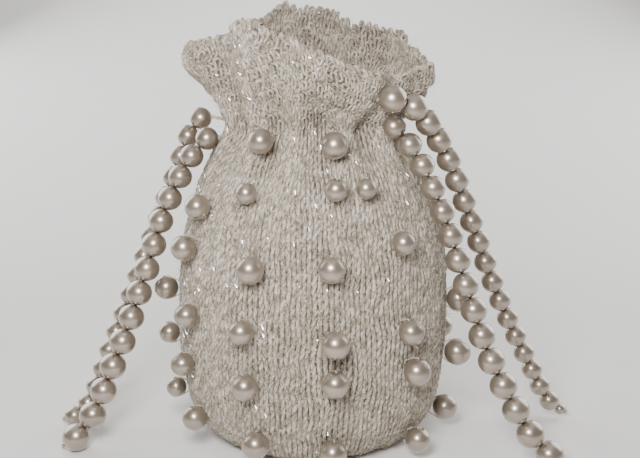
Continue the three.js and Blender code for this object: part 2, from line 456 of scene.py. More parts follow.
YARN = SpunYarn("acrylic_yarn_spun_and_plied", Slot.KNIT)
CORE = PaintedShadeCore("acrylic_fibres_painted_shade", Slot.KNIT)
FILM = SlitMetalFilm("polyester_film_metallised_and_slit", Slot.KNIT)
NACRE = PearlLacquer("abs_bead_pearl_lacquered", Slot.PEARL)
NYLON = TwistedNylon("nylon_thread_twisted", Slot.THREAD)
PAPER = StudioPaper("studio_paper_rolled", None)


@dataclass
class Shape:
    """A mesh put together from arrays, in millimetres."""

    points: list[Array] = field(default_factory=list)
    faces: list[Array] = field(default_factory=list)
    maps: dict[str, list[Array]] = field(default_factory=dict)
    count: int = 0

    def add(self, points: Array, faces: list[Array], maps: dict[str, Array] | None = None) -> None:
        """Adds points with their faces.

        Args:
            points: Places, of any shape that ends in x, y, z.
            faces: Rows of point numbers, each array with one number of corners.
            maps: A map's two values at each corner of those faces, by the map's name.
        """
        flat = points.reshape(-1, 3)
        self.points.append(flat)
        self.faces += [rows + self.count for rows in faces]
        self.count += len(flat)
        for name, values in (maps or {}).items():
            self.maps.setdefault(name, []).append(values.reshape(-1, 2))

    def piece(self, name: str, finish: Finish, flat: bool = False) -> bpy.types.Object:
        """Makes the mesh's object, and lets it ride on the part where its finish has a slot.

        Args:
            name: The piece's name.
            finish: What it is made of.
            flat: True where its facets show.

        Returns:
            The new object.
        """
        mesh = bpy.data.meshes.new(name)
        corners = np.concatenate([rows.ravel() for rows in self.faces])
        sizes = np.concatenate([np.full(len(rows), rows.shape[1]) for rows in self.faces])
        mesh.vertices.add(self.count)
        mesh.vertices.foreach_set("co", (np.concatenate(self.points) * MM).astype(np.float32).ravel())
        mesh.loops.add(len(corners))
        mesh.loops.foreach_set("vertex_index", corners.astype(np.int32))
        mesh.polygons.add(len(sizes))
        mesh.polygons.foreach_set("loop_start", (np.cumsum(sizes) - sizes).astype(np.int32))
        mesh.polygons.foreach_set("use_smooth", np.full(len(sizes), not flat))
        mesh.update(calc_edges=True)
        for label, values in self.maps.items():
            layer = mesh.uv_layers.new(name=label, do_init=False)
            layer.uv.foreach_set("vector", np.concatenate(values).astype(np.float32).ravel())
        mesh.materials.append(finish.material())
        made = bpy.data.objects.new(name, mesh)
        bpy.context.scene.collection.objects.link(made)
        if finish.slot:
            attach(made, BODY)
            LOG.info("%s: %d faces of %s", name, len(sizes), finish.name)
        return made


def yarn_maps(centres: Array, steps: int, sides: int, closed: bool, twist_mm: float) -> dict[str, Array]:
    """Lays yarn out flat, a strip for each run.

    Args:
        centres: The rings' middles, by run and by ring.
        steps: Stretches in each run.
        sides: Points in a ring.
        closed: True where the runs join their own starts.
        twist_mm: The length of one turn of the ply.

    Returns:
        The two maps' values at each corner, in the order of the runs' faces.
    """
    runs = len(centres)
    ahead = np.roll(centres, -1, axis=1)[:, :steps]
    lengths = np.linalg.norm(ahead - centres[:, :steps], axis=-1)
    start = np.cumsum(lengths, axis=1) - lengths
    corner_ahead = np.array([0, 1, 1, 0])
    corner_turn = np.array([0, 0, 1, 1])
    run = start[:, :, None, None] + lengths[:, :, None, None] * corner_ahead + np.zeros((1, 1, sides, 1))
    turn = (np.arange(sides)[:, None] + corner_turn) / sides + np.zeros((runs, steps, 1, 1))
    strips = STRIPS if closed else 1
    gone = np.arange(steps)[:, None, None] * strips / steps
    place = np.mod(gone, 1.0) + corner_ahead * strips / steps + np.zeros((runs, 1, sides, 1))
    strip = (np.arange(runs)[:, None, None, None] * strips + np.floor(gone) + turn) / (runs * strips)
    maps = {
        PLY_MAP: np.stack([2 * turn + run / twist_mm, run], axis=-1),
        BAKE_MAP: np.stack([place, strip], axis=-1),
    }
    if closed:
        return maps
    caps = np.zeros((2 * runs * sides, 2))
    return {name: np.concatenate([values.reshape(-1, 2), caps]) for name, values in maps.items()}


def ringed(
    shape: Shape, centres: Array, along: Array, hint: Array, radii: Array, sides: int, closed: bool = False,
    twist_mm: float = 0.0,
) -> None:
    """Adds bodies that are made of rings, such as tubes and beads.

    Args:
        shape: The mesh that they are added to.
        centres: The rings' middles, by body and by ring.
        along: The direction that each ring faces.
        hint: A direction across each ring.
        radii: The rings' radii.
        sides: Points in a ring.
        closed: True where a body's last ring joins its first, and False where its ends are capped.
        twist_mm: The length of one turn of the ply, where the bodies are yarn.
    """
    bodies, rings = radii.shape
    turn = 2 * np.pi * np.arange(sides) / sides
    away = spokes(along[:, :, None], hint[:, :, None], turn)
    points = centres[:, :, None] + radii[:, :, None, None] * away
    number = np.arange(bodies * rings * sides).reshape(bodies, rings, sides)
    steps = rings if closed else rings - 1
    here, ahead = number[:, :steps], np.roll(number, -1, axis=1)[:, :steps]
    quads = np.stack([here, ahead, np.roll(ahead, -1, axis=2), np.roll(here, -1, axis=2)], axis=-1)
    faces = [quads.reshape(-1, 4)]
    if not closed:
        faces += [number[:, 0], number[:, -1, ::-1]]
    maps = yarn_maps(centres, steps, sides, closed, twist_mm) if twist_mm else {}
    shape.add(points, faces, maps)


def tubes(
    shape: Shape, paths: Array, radii: Array | float, hint: Array, sides: int, closed: bool = False,
    twist_mm: float = 0.0,
) -> None:
    """Adds round tubes along paths.

    Args:
        shape: The mesh that they are added to.
        paths: Points by tube and by place along it.
        radii: The tubes' radii at those points, or the one that they share.
        hint: A direction across the path at each point.
        sides: Points round a tube.
        closed: True where a tube joins its own start.
        twist_mm: The length of one turn of the ply, where the tubes are yarn.
    """
    ahead, behind = np.roll(paths, -1, axis=1), np.roll(paths, 1, axis=1)
    if not closed:
        ahead[:, -1] = paths[:, -1]
        behind[:, 0] = paths[:, 0]
    hint = np.broadcast_to(hint, paths.shape)
    radii = np.broadcast_to(radii, paths.shape[:2])
    ringed(shape, paths, unit(ahead - behind), hint, radii, sides, closed, twist_mm)


class BodySection(NamedTuple):
    """A section of the body: its height, its radius and how deep its gathers are."""

    height: float
    radius: float
    gather: float


class RuffleSection(NamedTuple):
    """A section of the ruffle: shares of its rise, its flare and what is left of the gathers."""

    rise: float
    flare: float
    gathered: float


class RimFold(NamedTuple):
    """A crest or valley of the rim."""

    angle: float
    height: float
    radius: float


@dataclass(frozen=True)
class PouchForm:
    """The outer face of the knit, from the base up to the rim."""

    depth_share: float = 0.95
    gathers: int = 12
    gather_crest: float = -9.0
    base: tuple[BodySection, ...] = (BodySection(0, 26, 0), BodySection(0, 32, 0))
    body: tuple[BodySection, ...] = (
        BodySection(0, 38, 0), BodySection(2, 43.5, 0), BodySection(9, 49.5, 0), BodySection(23, 53.8, 0),
        BodySection(46, 55.6, 0), BodySection(71, 54.5, 0), BodySection(90, 51.2, 0.2),
        BodySection(101, 47.6, 0.7), BodySection(111, 42.6, 1.4), BodySection(120, 37.2, 2.1),
        BodySection(127, 34, 2.5),
    )
    ruffle: tuple[RuffleSection, ...] = (
        RuffleSection(0.2, 0.22, 0.75), RuffleSection(0.43, 0.64, 0.4), RuffleSection(0.67, 0.96, 0.12),
        RuffleSection(0.87, 1, 0), RuffleSection(1, 0.88, 0),
    )
    rim: tuple[RimFold, ...] = (
        RimFold(-165, 176, 46), RimFold(-142, 169, 39), RimFold(-122, 163, 47), RimFold(-107, 160, 43),
        RimFold(-86, 160, 51), RimFold(-56, 162, 38), RimFold(-34, 168, 45), RimFold(-17, 162, 41),
        RimFold(0, 158, 47), RimFold(20, 151, 41), RimFold(34, 149, 43), RimFold(50, 147, 38),
        RimFold(80, 151, 48), RimFold(106, 158, 43), RimFold(127, 164, 47), RimFold(150, 168, 39),
        RimFold(170, 173, 46), RimFold(183, 175, 42),
    )

    def rim_at(self, angles: Array) -> tuple[Array, Array]:
        """Eases the rim from fold to fold.

        Args:
            angles: Degrees round the bag.

        Returns:
            The rim's heights and its widest radii.
        """
        first = self.rim[0]
        folds = np.array([*self.rim, first._replace(angle=first.angle + 360)], float)
        turned = first.angle + np.mod(angles - first.angle, 360)
        last = np.clip(np.searchsorted(folds[:, 0], turned, side="right") - 1, 0, len(folds) - 2)
        share = smooth((turned - folds[last, 0]) / (folds[last + 1, 0] - folds[last, 0]))
        eased = folds[last] + share[:, None] * (folds[last + 1] - folds[last])
        return eased[:, 1], eased[:, 2]

    def sections(self, angles: Array) -> Array:
        """Stacks the sections one above another.

        Args:
            angles: Degrees round the bag.

        Returns:
            The radius and height of every section, by angle and by section.
        """
        wave = np.cos(np.radians(self.gathers * (angles - self.gather_crest)))
        level = np.zeros_like(angles)
        below, neck = (*self.base, *self.body), self.body[-1]
        rows = [np.stack([s.radius + s.gather * wave, s.height + level], axis=-1) for s in below]
        heights, radii = self.rim_at(angles)
        for s in self.ruffle:
            radius = neck.radius + s.flare * (radii - neck.radius) + neck.gather * s.gathered * wave
            rows.append(np.stack([radius, neck.height + s.rise * (heights - neck.height)], axis=-1))
        return np.stack(rows, axis=1)

    def on_bag(self, angles: Array, radii: Array, heights: Array) -> Array:
        """Finds points on the bag's slightly flattened rounds.

        Args:
            angles: Degrees round the bag.
            radii: The rounds' radii, from side to side.
            heights: Heights above the floor.

        Returns:
            The points.
        """
        turn = np.radians(angles)
        flat = -radii * np.cos(turn) * self.depth_share
        return np.stack(np.broadcast_arrays(radii * np.sin(turn), flat, heights), axis=-1)


def curves(points: Array, steps: int, centripetal: bool = False) -> Array:
    """Draws Catmull-Rom curves through points.

    Args:
        points: Places by curve and along it.
        steps: Steps from each point to the next.
        centripetal: True where the pace follows the gaps between the points, and False where it is even.

    Returns:
        The curves' points, with the first and last of those given.
    """
    ends = [2 * points[:, :1] - points[:, 1:2], points, 2 * points[:, -1:] - points[:, -2:-1]]
    held = np.concatenate(ends, axis=1)
    gaps = np.linalg.norm(np.diff(held, axis=1), axis=-1)
    pace = np.sqrt(gaps) if centripetal else np.ones_like(gaps)
    t = np.linspace(0, 1, steps, endpoint=False)[:, None]
    drawn = []
    for k in range(points.shape[1] - 1):
        a, b, c, d = (held[:, k + n, None] for n in range(4))
        before, here, after = (pace[:, k + n, None, None] for n in range(3))
        leave = here * ((b - a) / before - (c - a) / (before + here) + (c - b) / here)
        arrive = here * ((c - b) / here - (d - b) / (here + after) + (d - c) / after)
        bend = 3 * (c - b) - 2 * leave - arrive
        drawn.append(b + t * (leave + t * (bend + t * (2 * (b - c) + leave + arrive))))
    return np.concatenate([*drawn, points[:, -1:]], axis=1)


def between(table: Array, i: Array, j: Array) -> Array:
    """Reads a table between its entries.

    Args:
        table: Values round a first axis, which joins its own start, and along a second.
        i: Entries along the first axis.
        j: Entries along the second axis, held just short of its end.

    Returns:
        The values there.
    """
    j = np.clip(j, 0, table.shape[1] - 1.001)
    low_i, low_j = np.floor(i).astype(int), np.floor(j).astype(int)
    share_i, share_j = i - low_i, j - low_j
    if table.ndim == 3:
        share_i, share_j = share_i[..., None], share_j[..., None]
    a, b = low_i % len(table), (low_i + 1) % len(table)
    low = table[a, low_j] * (1 - share_i) + table[b, low_j] * share_i
    high = table[a, low_j + 1] * (1 - share_i) + table[b, low_j + 1] * share_i
    return low * (1 - share_j) + high * share_j


@dataclass
class KnitGauge:
    """The fabric's stitches, and where each place in it lies on the bag."""

    form: PouchForm
    stitches: int = 84
    ruffle_stitches: int = 90
    base_rows: int = 3
    body_rows: int = 44
    ruffle_rows: int = 18
    wall: float = 3.0
    drift: float = 0.14  # how far the work strays from its place, in stitches
    swell: float = 0.36  # how far it swells and sinks, in millimetres
    ruffle_play: float = 2.2  # how many times further the ruffle does both
    play_rows: float = 4.0  # rows above the neck over which that sets in
    fold_depth: float = 1.3  # how much deeper the drawstrings pull the gathers in
    fold_rows: float = 5.0  # rows above and below the neck over which that fades
    line_steps: int = 16  # steps from one section of the form to the next
    fine: int = 4  # steps of the table for each stitch and each row
    places: Array = field(init=False)
    normals: Array = field(init=False)
    widths: Array = field(init=False)  # of a stitch
    heights: Array = field(init=False)  # of a row
    stray: Array = field(init=False)

    def __post_init__(self) -> None:
        """Works out the tables of places, directions, sizes and strays."""
        angles = 360 * np.arange(self.stitches * self.fine) / (self.stitches * self.fine)
        lines = curves(self.form.sections(angles), self.line_steps)
        edge = self.line_steps * len(self.form.base)
        neck = edge + self.line_steps * (len(self.form.body) - 1)
        parts = [
            self.spaced(lines[:, :edge + 1], self.base_rows)[:, :-1],
            self.spaced(lines[:, edge:neck + 1], self.body_rows)[:, :-1],
            self.spaced(lines[:, neck:], self.ruffle_rows),
        ]
        table = np.concatenate(parts, axis=1)
        self.places = self.form.on_bag(angles[:, None], table[..., 0], table[..., 1])
        around = np.roll(self.places, -1, axis=0) - np.roll(self.places, 1, axis=0)
        upwards = np.gradient(self.places, axis=1)
        self.normals = unit(np.cross(around, upwards))
        self.widths = np.linalg.norm(around, axis=-1) * self.fine / 2
        self.heights = np.linalg.norm(upwards, axis=-1) * self.fine
        draw = np.random.default_rng(SEED)
        marks = (self.stitches // 2, (self.base_rows + self.rows) // 2 + 2, 3)
        self.stray = draw.normal(0, 1, marks).clip(-2, 2)

    @property
    def rows(self) -> int:
        """Rows from the base's edge to the rim."""
        return self.body_rows + self.ruffle_rows

    def spaced(self, lines: Array, rows: int) -> Array:
        """Spaces rows evenly along each line.

        Args:
            lines: Radius and height along each line.
            rows: How many rows the lines take.

        Returns:
            Radius and height at every step of the table.
        """
        steps = np.linalg.norm(np.diff(lines, axis=1), axis=-1)
        gone = np.concatenate([np.zeros((len(lines), 1)), steps.cumsum(axis=1)], axis=1)
        wanted = np.linspace(0, 1, rows * self.fine + 1)
        spaced = [
            np.stack([np.interp(wanted * length[-1], length, line[:, k]) for k in range(2)], axis=-1)
            for line, length in zip(lines, gone)
        ]
        return np.array(spaced)

    def read(self, table: Array, u: Array, v: Array) -> Array:
        """Reads one of the tables.

        Args:
            table: Values round the bag and up it.
            u: Stitches round the bag.
            v: Rows above the base's edge.

        Returns:
            The values there.
        """
        return between(table, u * self.fine, (v + self.base_rows) * self.fine)

    def fold(self, u: Array, v: Array) -> Array:
        """Works out how far the drawstrings pull the fabric in beyond the plain gathers.

        Args:
            u: Stitches round the bag.
            v: Rows above the base's edge.

        Returns:
            Millimetres.
        """
        wave = np.cos(2 * np.pi * self.form.gathers * (u / self.stitches - self.form.gather_crest / 360))
        near = np.exp(-((v - self.body_rows) / self.fold_rows) ** 2)
        return self.fold_depth * near * ((1 - wave) / 2) ** 2

    def at(self, u: Array, v: Array, lift: Array | float) -> tuple[Array, Array]:
        """Finds a place in the fabric.

        Args:
            u: Stitches round the bag.
            v: Rows above the base's edge.
            lift: Millimetres out of the middle of the fabric.

        Returns:
            The place and the direction out of the fabric there.
        """
        play = 1 + (self.ruffle_play - 1) * ((v - self.body_rows) / self.play_rows).clip(0, 1)
        stray = between(self.stray, u / 2, (v + self.base_rows) / 2) * play[..., None]
        u, v = u + self.drift * stray[..., 0], v + self.drift * stray[..., 1]
        normal = unit(self.read(self.normals, u, v))
        out = lift - self.wall / 2 + self.swell * stray[..., 2] - self.fold(u, v)
        return self.read(self.places, u, v) + normal * out[..., None], normal


class Band(NamedTuple):
    """Rows of the fabric that are one piece, with the depth of their loops to either side of its middle."""

    name: str
    first: int
    last: int
    stitches: int
    pattern: Pattern
    depth: float


class Yarn(NamedTuple):
    """Rows of yarn: its places, the directions out of the fabric, its radii and its place in a loop."""

    places: Array
    out: Array
    radii: Array
    loop: Array


@dataclass
class KnittedPouch:
    """The bag itself: loops of yarn, the matted core between them, a metal thread and loose fibres."""

    gauge: KnitGauge
    yarn: float = 1.75
    body_depth: float = 0.6
    ruffle_depth: float = 0.58
    spread: float = 0.17  # how far a loop's legs lean apart, in stitches
    reach: float = 0.98  # of a loop above and below its row, in rows
    steps: int = 12  # places along a loop
    sides: int = 5
    twist: float = 4.6  # millimetres to a turn of the ply
    slack_width: float = 3.6  # stitches narrower than this squeeze the yarn
    slack_height: float = 2.7
    squeezed: float = 0.7  # the least share of its thickness that is left
    uneven_yarn: float = 0.1  # how much thicker and thinner it is spun, as a share
    uneven_lift: float = 0.16  # how far its loops stand out and sink
    uneven_row: float = 0.07  # how far they stray up and down, in rows
    core: float = 0.3  # thickness of the matted fibres
    row: float = 3.0  # between the rounds of the base
    base_edge: float = 38.0
    base_depth: float = 0.3  # of the base's loops to either side of its middle
    base_steps: int = 9
    base_least: int = 6  # stitches in the smallest round
    edge_drop: float = 0.7  # of the cast-off edge under the rim, in rows
    edge_reach: float = 0.5  # of its wraps up and down, in rows
    edge_depth: float = 0.85
    edge_yarn: float = 1.75
    edge_play: float = 2.0  # how many times less even the edge is
    film: float = 0.14  # radius of the metal thread, a little over the real one's so that it shows
    film_share: float = 0.6  # of the legs that show it
    film_steps: int = 2  # of the loop that each stretch covers
    film_turn: float = 0.8  # radians round the yarn for each step
    film_stray: float = 0.6  # radians to either side of the front of the yarn
    fuzz: float = 0.1  # thickness of a fibre, over the real one's so that it shows
    fuzz_share: float = 1.0  # fibres to a stitch
    fuzz_reach: tuple[float, float] = (1.2, 3.6)
    fuzz_lean: float = 0.8  # as a slope
    fuzz_bend: float = 0.5  # as a share of its length
    fuzz_root: float = 0.8  # how far out in the yarn a fibre starts, as a share
    fuzz_taper: tuple[float, ...] = (1.0, 0.8, 0.3)  # shares of its thickness, from root to tip
    draw: np.random.Generator = field(default_factory=lambda: np.random.default_rng(SEED + 1))

    def build(self) -> None:
        """Makes the bag's pieces."""
        self.build_core()
        self.build_base()
        film, fuzz = Shape(), Shape()
        for band in self.bands():
            shape, yarn = Shape(), self.rows_of(band)
            tubes(shape, yarn.places, yarn.radii, yarn.out, self.sides, True, self.twist)
            shape.piece(band.name, YARN)
            self.add_film(film, yarn)
            self.add_fuzz(fuzz, yarn)
        film.piece("knit_metal_thread", FILM, flat=True)
        fuzz.piece("knit_loose_fibres", YARN)
        self.build_edge()

    def bands(self) -> tuple[Band, ...]:
        """Shares the rows out among the pieces.

        Returns:
            The bands, from the base's edge up to the cast-off edge.
        """
        neck, rim = self.gauge.body_rows, self.gauge.rows - 1
        third, half = neck // 3, (neck + rim) // 2
        body = (self.gauge.stitches, Pattern.PLAIN, self.body_depth)
        ruffle = (self.gauge.ruffle_stitches, Pattern.MOSS, self.ruffle_depth)
        return (
            Band("knit_body_low", 0, third, *body),
            Band("knit_body_middle", third, 2 * third, *body),
            Band("knit_body_high", 2 * third, neck, *body),
            Band("knit_ruffle_low", neck, half, *ruffle),
            Band("knit_ruffle_high", half, rim, *ruffle),
        )

    def wander(self, rows: int, places: int) -> Array:
        """Draws values that wander along rows of yarn.

        Args:
            rows: Rows of yarn.
            places: Places along a row, which joins its own start.

        Returns:
            Values about zero, mostly between -1 and 1, by row and by place.
        """
        half_loop = self.steps // 2
        marks = self.draw.normal(0, 1, (rows, places // half_loop)).clip(-2, 2)
        at = np.arange(places) / half_loop
        low = at.astype(int)
        share = smooth(at - low)
        return marks[:, low] * (1 - share) + np.roll(marks, -1, axis=1)[:, low] * share

    def rows_of(self, band: Band) -> Yarn:
        """Lays a band's rows of loops into the fabric.

        Args:
            band: The band.

        Returns:
            Its yarn.
        """
        gauge, rows = self.gauge, band.last - band.first
        place = np.arange(band.stitches * self.steps) / self.steps
        loop = np.mod(place, 1.0)
        turn = 2 * np.pi * loop
        rise, bulge, swell = (self.wander(rows, len(place)) for _ in range(3))
        middle = np.arange(band.first, band.last)[:, None] + 0.5
        v = middle + self.reach * np.cos(turn) + self.uneven_row * rise
        u = (place + self.spread * np.sin(2 * turn)) * gauge.stitches / band.stitches + np.zeros_like(v)
        kinds = band.pattern.kinds(rows + 1, band.stitches)
        before = place.astype(int)
        own, after = np.round(place).astype(int) % band.stitches, (before + 1) % band.stitches
        legs, heads = kinds[:-1, own], -kinds[1:, own]
        sinkers = -(kinds[:-1, before] + kinds[:-1, after]) / 2
        bends = np.where(np.cos(turn) > 0, heads, sinkers)
        depth = band.depth * (legs + bends + (bends - legs) * np.cos(2 * turn)) / 2
        width = gauge.read(gauge.widths, u, v) * gauge.stitches / band.stitches
        height = gauge.read(gauge.heights, u, v)
        squeeze = np.minimum(width / self.slack_width, height / self.slack_height).clip(self.squeezed, 1)
        radii = self.yarn / 2 * squeeze * (1 + self.uneven_yarn * swell)
        places, out = gauge.at(u, v, depth + self.uneven_lift * bulge)
        places[..., 2] = np.maximum(places[..., 2], radii)
        return Yarn(places, out, radii, loop)

    def build_core(self) -> None:
        """Makes the thin closed wall that shows between the loops, and lets it stand for the solid bag."""
        gauge, shape = self.gauge, Shape()
        around, rows = gauge.stitches * 2, gauge.rows + gauge.base_rows
        u = np.arange(around)[:, None] / 2 + np.zeros((1, rows))
        v = np.arange(rows)[None, :] - gauge.base_rows + np.zeros((around, 1))
        walls = [gauge.at(u, v, lift)[0] for lift in (self.core / 2, -self.core / 2)]
        outer, inner = np.arange(2 * around * rows).reshape(2, around, rows)
        outer_on, inner_on = np.roll(outer, -1, axis=0), np.roll(inner, -1, axis=0)
        outside = np.stack([outer[:, :-1], outer_on[:, :-1], outer_on[:, 1:], outer[:, 1:]], axis=-1)
        inside = np.stack([inner[:, :-1], inner[:, 1:], inner_on[:, 1:], inner_on[:, :-1]], axis=-1)
        edge = np.stack([outer[:, -1], outer_on[:, -1], inner_on[:, -1], inner[:, -1]], axis=-1)
        bottom = [outer[::-1, 0][None], inner[:, 0][None]]
        shape.add(np.stack(walls), [outside.reshape(-1, 4), inside.reshape(-1, 4), edge, *bottom])
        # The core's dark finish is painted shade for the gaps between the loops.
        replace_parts(shape.piece("knit_core", CORE), "knit_pouch")

    def build_base(self) -> None:
        """Knits the flat base in rounds that narrow to its middle."""
        shape = Shape()
        for radius in np.arange(self.base_edge, self.row, -self.row):
            count = max(self.base_least, round(2 * np.pi * radius / self.slack_width))
            place = np.arange(count * self.base_steps) / self.base_steps
            turn = 2 * np.pi * np.mod(place, 1.0)
            angles = 360 / count * (place + self.spread * np.sin(2 * turn))
            radii = radius + self.row * (self.reach * np.cos(turn) - 0.5)
            heights = self.yarn / 2 + self.base_depth + self.base_depth * np.cos(2 * turn)
            path = self.gauge.form.on_bag(angles, radii, heights)[None]
            tubes(shape, path, self.yarn / 2, -UP, self.sides, True, self.twist)
        shape.piece("knit_base", YARN)

    def build_edge(self) -> None:
        """Casts the rim off with a yarn that wraps it once a stitch."""
        gauge, shape = self.gauge, Shape()
        places = gauge.ruffle_stitches * self.steps
        stitch = np.arange(places) / self.steps
        turn = 2 * np.pi * stitch
        bulge, rise, swell = (self.wander(1, places) for _ in range(3))
        stray = self.edge_play * self.uneven_row * rise
        v = gauge.rows - self.edge_drop + self.edge_reach * np.cos(turn) + stray
        u = stitch * gauge.stitches / gauge.ruffle_stitches + np.zeros_like(v)
        lift = self.edge_depth * np.sin(turn) + self.edge_play * self.uneven_lift * bulge
        path, out = gauge.at(u, v, lift)
        radii = self.edge_yarn / 2 * (1 + self.uneven_yarn * swell)
        tubes(shape, path, radii, out, self.sides, True, self.twist)
        shape.piece("knit_cast_off_edge", YARN)

    def add_film(self, shape: Shape, yarn: Yarn) -> None:
        """Lays short stretches of the metal thread over the loops' legs.

        Args:
            shape: The mesh that they are added to.
            yarn: The rows of yarn.
        """
        half = self.film_steps // 2
        stretch = np.arange(-half, half + 1)
        rows, places = yarn.radii.shape
        # A leg's middle is a quarter or three quarters of the way along its loop.
        legs = np.flatnonzero(np.abs(np.abs(yarn.loop - 0.5) - 0.25) < 0.5 / self.steps)
        row, middle = np.meshgrid(np.arange(rows), legs, indexing="ij")
        shown = self.draw.random(row.shape) < self.film_share
        row = row[shown][:, None]
        shift = self.draw.integers(-half, half + 1, row.shape)
        along = (middle[shown][:, None] + shift + stretch) % places
        heading = unit(np.gradient(yarn.places[row, along], axis=1))
        lean = np.pi / 2 + self.draw.normal(0, self.film_stray, row.shape) + self.film_turn * stretch
        away = spokes(heading, yarn.out[row, along], lean)
        path = yarn.places[row, along] + yarn.radii[row, along][..., None] * away
        path[..., 2] = np.maximum(path[..., 2], self.film)
        tubes(shape, path, self.film, away, FIBRE_SIDES)

    def add_fuzz(self, shape: Shape, yarn: Yarn) -> None:
        """Lets loose fibres stand out of the yarn.

        Args:
            shape: The mesh that they are added to.
            yarn: The rows of yarn.
        """
        rows, places = yarn.radii.shape
        count = int(self.fuzz_share * rows * places / self.steps)
        row, along = self.draw.integers(0, rows, count), self.draw.integers(0, places, count)
        lean = self.draw.normal(0, self.fuzz_lean, (count, 3))
        bend = self.draw.normal(0, self.fuzz_bend, (count, 3))
        length = self.draw.uniform(*self.fuzz_reach, count)[:, None]
        normal = yarn.out[row, along]
        root = yarn.places[row, along] + normal * (self.fuzz_root * yarn.radii[row, along])[:, None]
        heading = unit(normal + lean)
        shares = np.linspace(0, 1, len(self.fuzz_taper))
        path = np.stack([root + length * (s * heading + s * s * bend) for s in shares], axis=1)
        path[..., 2] = np.maximum(path[..., 2], self.fuzz)
        radii = self.fuzz / 2 * np.array(self.fuzz_taper)
        tubes(shape, path, radii, np.roll(heading, 1, axis=-1)[:, None], FIBRE_SIDES, twist_mm=self.twist)


@dataclass(frozen=True)
class PearlBead:
    """A round moulded bead, drilled through."""

    hole: float = 1.2
    drilled: float = 0.9  # how deep the hole is drawn
    narrowed: float = 0.9  # how wide it is at that depth, as a share
    rings: int = 13
    sides: int = 20

    def add(self, shape: Shape, centres: Array, axes: Array, hints: Array, diameters: Array) -> None:
        """Adds beads to a mesh.

        Args:
            shape: The mesh that they are added to.
            centres: The beads' middles.
            axes: The directions of their holes.
            hints: A direction across each hole.
            diameters: The beads' sizes.
        """
        size = diameters[:, None] / 2
        lip = np.arcsin(self.hole / diameters)[:, None]
        turn = lip + (np.pi - 2 * lip) * np.linspace(0, 1, self.rings)
        bottom = np.full_like(size, self.narrowed / 2 * self.hole)
        along = np.concatenate([self.drilled - size, -size * np.cos(turn), size - self.drilled], axis=1)
        radii = np.concatenate([bottom, size * np.sin(turn), bottom], axis=1)
        middles = centres[:, None] + along[..., None] * axes[:, None]
        facing, across = (np.broadcast_to(way[:, None], middles.shape) for way in (axes, hints))
        ringed(shape, middles, facing, across, radii, self.sides)


@dataclass
class SewnPearls:
    """Pearls sewn all over the bag, each by a stitch through its hole."""

    form: PouchForm
    bead: PearlBead = PearlBead()
    prefix: str = "pearl_"
    lean: float = 0.12  # how far a hole strays from upright, as a slope
    thread: float = 0.6
    held: float = 0.7  # how deep in the hole a stitch starts
    bow: float = 0.1  # how far it bows out of the hole
    sunk: float = 1.6  # how far it goes into the knit
    curve_steps: int = 4

    def build(self) -> None:
        """Makes a piece for each pearl and one for the stitches."""
        draw = np.random.default_rng(SEED + 2)
        stitches = Shape()
        for node in sorted(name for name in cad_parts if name.startswith(self.prefix)):
            low, high = (np.array(corner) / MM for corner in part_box(node))
            centre, size = (low + high) / 2, float(np.mean(high - low))
            out = unit(centre * np.array([1.0, 1 / self.form.depth_share ** 2, 0.0]))
            axis = unit(UP + draw.normal(0, self.lean, 3))
            shape = Shape()
            self.bead.add(shape, centre[None], axis[None], out[None], np.array([size]))
            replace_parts(shape.piece(f"sewn_{node}", NACRE), node)
            self.add_stitch(stitches, centre, axis, out, size / 2)
        stitches.piece("pearl_stitches", NYLON)

    def add_stitch(self, shape: Shape, centre: Array, axis: Array, out: Array, radius: float) -> None:
        """Adds the thread that comes out of both ends of a pearl's hole and goes into the knit.

        Args:
            shape: The mesh that it is added to.
            centre: The pearl's middle.
            axis: The direction of its hole.
            out: The direction away from the bag.
            radius: The pearl's radius.
        """
        # Out of the hole, over the pearl's shoulder and in under it.
        along = np.array([radius - self.held, radius + self.bow, radius * 0.88, radius * 0.45])
        inwards = np.array([0.0, 2 * self.bow, radius * 0.6, radius + self.sunk])
        for side in (-1, 1):
            corners = centre + side * along[:, None] * axis - inwards[:, None] * out
            path = curves(corners[None], self.curve_steps)
            tubes(shape, path, self.thread / 2, np.cross(axis, out), THREAD_SIDES)


class StrandPlan(NamedTuple):
    """A strand of a drawstring: its eyelet, its beads and its route to the floor."""

    name: str
    angle: float
    height: float
    count: int
    top: float  # diameter of its first bead
    end: float  # of its last full bead
    tip: float  # of a small one after that, or 0
    route: tuple[Place, ...]


